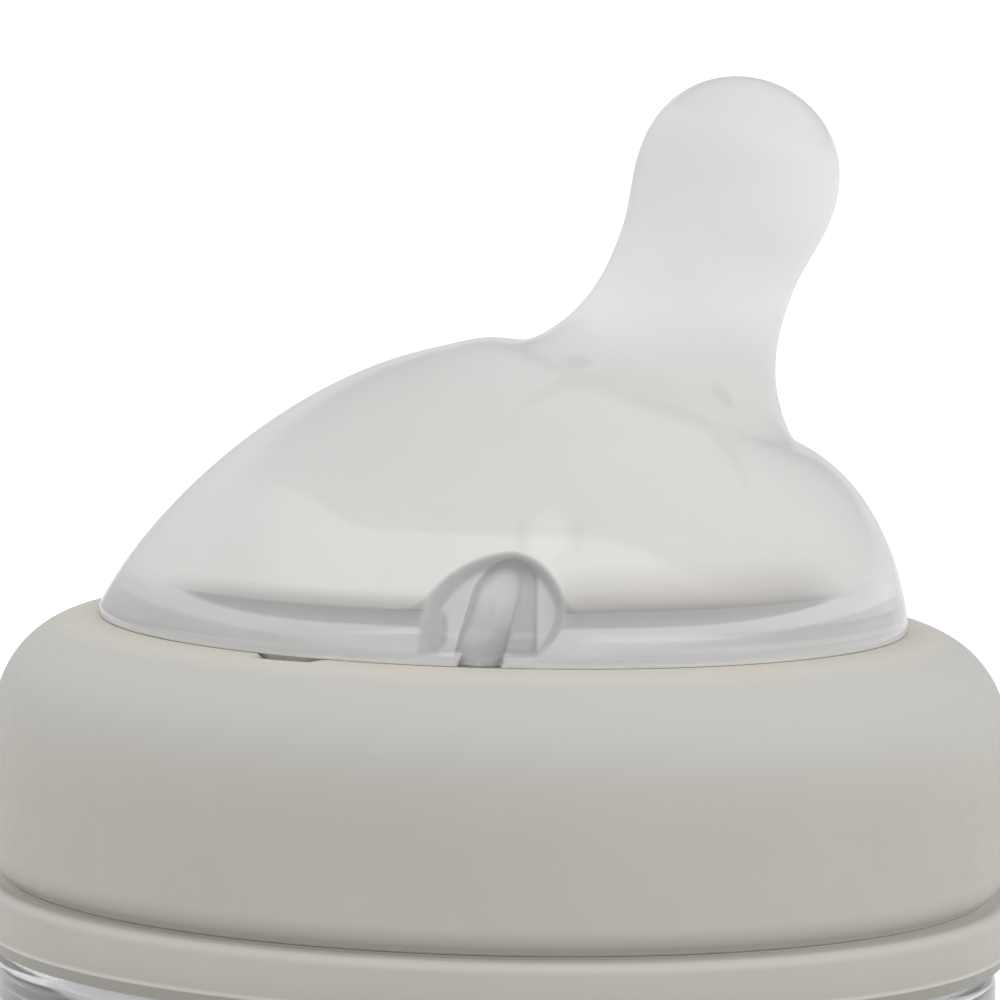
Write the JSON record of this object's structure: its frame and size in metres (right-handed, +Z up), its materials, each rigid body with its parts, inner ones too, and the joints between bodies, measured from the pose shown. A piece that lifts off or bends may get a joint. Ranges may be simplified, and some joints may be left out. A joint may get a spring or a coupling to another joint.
{
  "type": "baby bottle",
  "caption": "Wide-neck baby feeding bottle with a screw collar, a neck ring and an angled silicone teat that has an air vent in its skirt.",
  "frame": {"origin": "middle of the bottle's base, on the surface it stands on", "axes": "+Z up along the bottle's axis, +X to the side that the nipple leans to, -Y to the side of the air vent"},
  "size_m": [0.0716, 0.0716, 0.1589],
  "materials": {
    "bottle_body": "clear, glossy",
    "neck_ring": "satin moulded, warm grey",
    "collar": "matt moulded, warm light grey",
    "teat": "satin milky silicone, clear skirt"
  },
  "bodies": {
    "bottle": {"bottle_body": "bottle_body", "neck_ring": "neck_ring"},
    "teat": {"teat": "teat"},
    "collar": {"collar": "collar"}
  },
  "joints": [
    {"name": "collar_rise", "type": "slide", "parent": "bottle", "child": "teat", "axis": [0, 0, 1], "range_m": [0, 0.00601]},
    {"name": "collar_turn", "type": "hinge", "parent": "teat", "child": "collar", "pos_m": [0, 0, 0.121], "axis": [0, 0, 1], "range_deg": [0, 540]}
  ],
  "couplings": [
    {"joint": "collar_rise", "follows": "collar_turn", "m_per_rad": 0.00063662}
  ]
}
